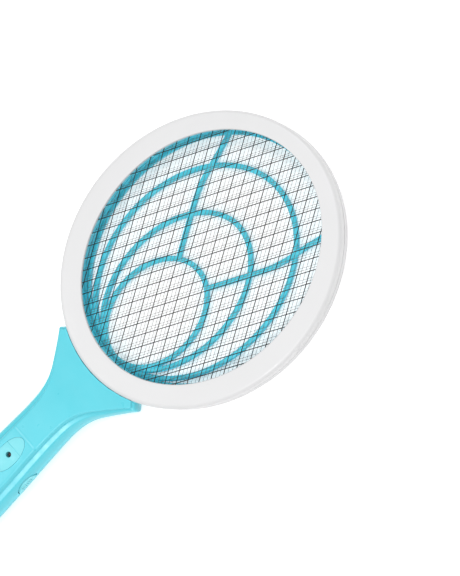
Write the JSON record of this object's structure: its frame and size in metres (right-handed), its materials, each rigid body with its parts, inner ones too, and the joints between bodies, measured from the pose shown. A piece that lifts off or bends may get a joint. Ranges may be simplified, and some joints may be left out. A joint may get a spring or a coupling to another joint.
{
  "type": "electric fly swatter",
  "caption": "Hand-held electric fly swatter: oval white head with layered wire nets and a rear guard, on a teal battery handle with press buttons and a slide-off battery door.",
  "frame": {"origin": "middle of the bounding box, on the plane that the back lies on", "axes": "+Y along the handle towards the head, +X across the width on the side button's side, +Z out of the front face"},
  "size_m": [0.21, 0.5, 0.0279],
  "materials": {
    "white_plastic": "smooth moulded, soft gloss",
    "teal_plastic": "smooth moulded, soft gloss",
    "net_wire": "drawn wire, dull",
    "spacer_plastic": "moulded, plain",
    "dark_plastic": "moulded, plain",
    "ferrite": "sintered, grey-black",
    "copper_wire": "enamelled winding",
    "board_laminate": "solder mask",
    "led_lens": "clear red epoxy",
    "film_capacitor": "dipped epoxy",
    "red_insulation": "soft insulation",
    "black_insulation": "soft insulation",
    "cell_sleeve": "printed sleeve without text",
    "contact_steel": "nickel plated",
    "screw_steel": "zinc plated"
  },
  "bodies": {
    "handle_and_head": {"front_ring": "white_plastic", "rear_ring": "white_plastic", "front_net": "net_wire", "centre_net": "net_wire", "rear_net": "net_wire", "front_spacer": "teal_plastic", "rear_spacer": "teal_plastic", "rear_guard": "teal_plastic", "handle_front_shell": "teal_plastic", "handle_rear_shell": "teal_plastic", "power_switch": "dark_plastic", "side_switch": "dark_plastic", "transformer_core": "ferrite", "transformer_winding": "copper_wire", "circuit_board": "board_laminate", "indicator_led": "led_lens", "output_capacitor": "film_capacitor", "filter_capacitor": "film_capacitor", "transistor": "dark_plastic", "diode_1": "dark_plastic", "diode_2": "dark_plastic", "diode_3": "dark_plastic", "resistor_1": "spacer_plastic", "resistor_2": "spacer_plastic", "centre_net_lead": "red_insulation", "outer_net_lead": "black_insulation", "battery_lead_positive": "red_insulation", "battery_lead_negative": "black_insulation", "battery_1": "cell_sleeve", "battery_2": "cell_sleeve", "bridge_contact": "contact_steel", "bridge_spring": "contact_steel", "negative_contact": "contact_steel", "negative_spring": "contact_steel", "positive_contact": "contact_steel", "ring_screw_1": "screw_steel", "ring_screw_2": "screw_steel", "ring_screw_3": "screw_steel", "ring_screw_4": "screw_steel", "ring_screw_5": "screw_steel", "ring_screw_6": "screw_steel", "ring_screw_7": "screw_steel", "ring_screw_8": "screw_steel", "handle_screw_1": "screw_steel", "handle_screw_2": "screw_steel", "handle_screw_3": "screw_steel", "handle_screw_4": "screw_steel"},
    "power_button_body": {"power_button": "teal_plastic", "power_switch_plunger": "spacer_plastic"},
    "side_button_body": {"side_button": "teal_plastic", "side_switch_plunger": "spacer_plastic"},
    "battery_door_body": {"battery_door": "teal_plastic"}
  },
  "joints": [
    {"name": "power_press", "type": "slide", "parent": "handle_and_head", "child": "power_button_body", "axis": [0, 0, -1], "range_m": [0, 0.0015], "stiffness_N_per_m": 600, "springref_m": -0.0008},
    {"name": "side_press", "type": "slide", "parent": "handle_and_head", "child": "side_button_body", "axis": [-1, 0, 0], "range_m": [0, 0.0012], "stiffness_N_per_m": 600, "springref_m": -0.0008},
    {"name": "battery_door_slide", "type": "slide", "parent": "handle_and_head", "child": "battery_door_body", "axis": [0, -1, 0], "range_m": [0, 0.0105]}
  ]
}
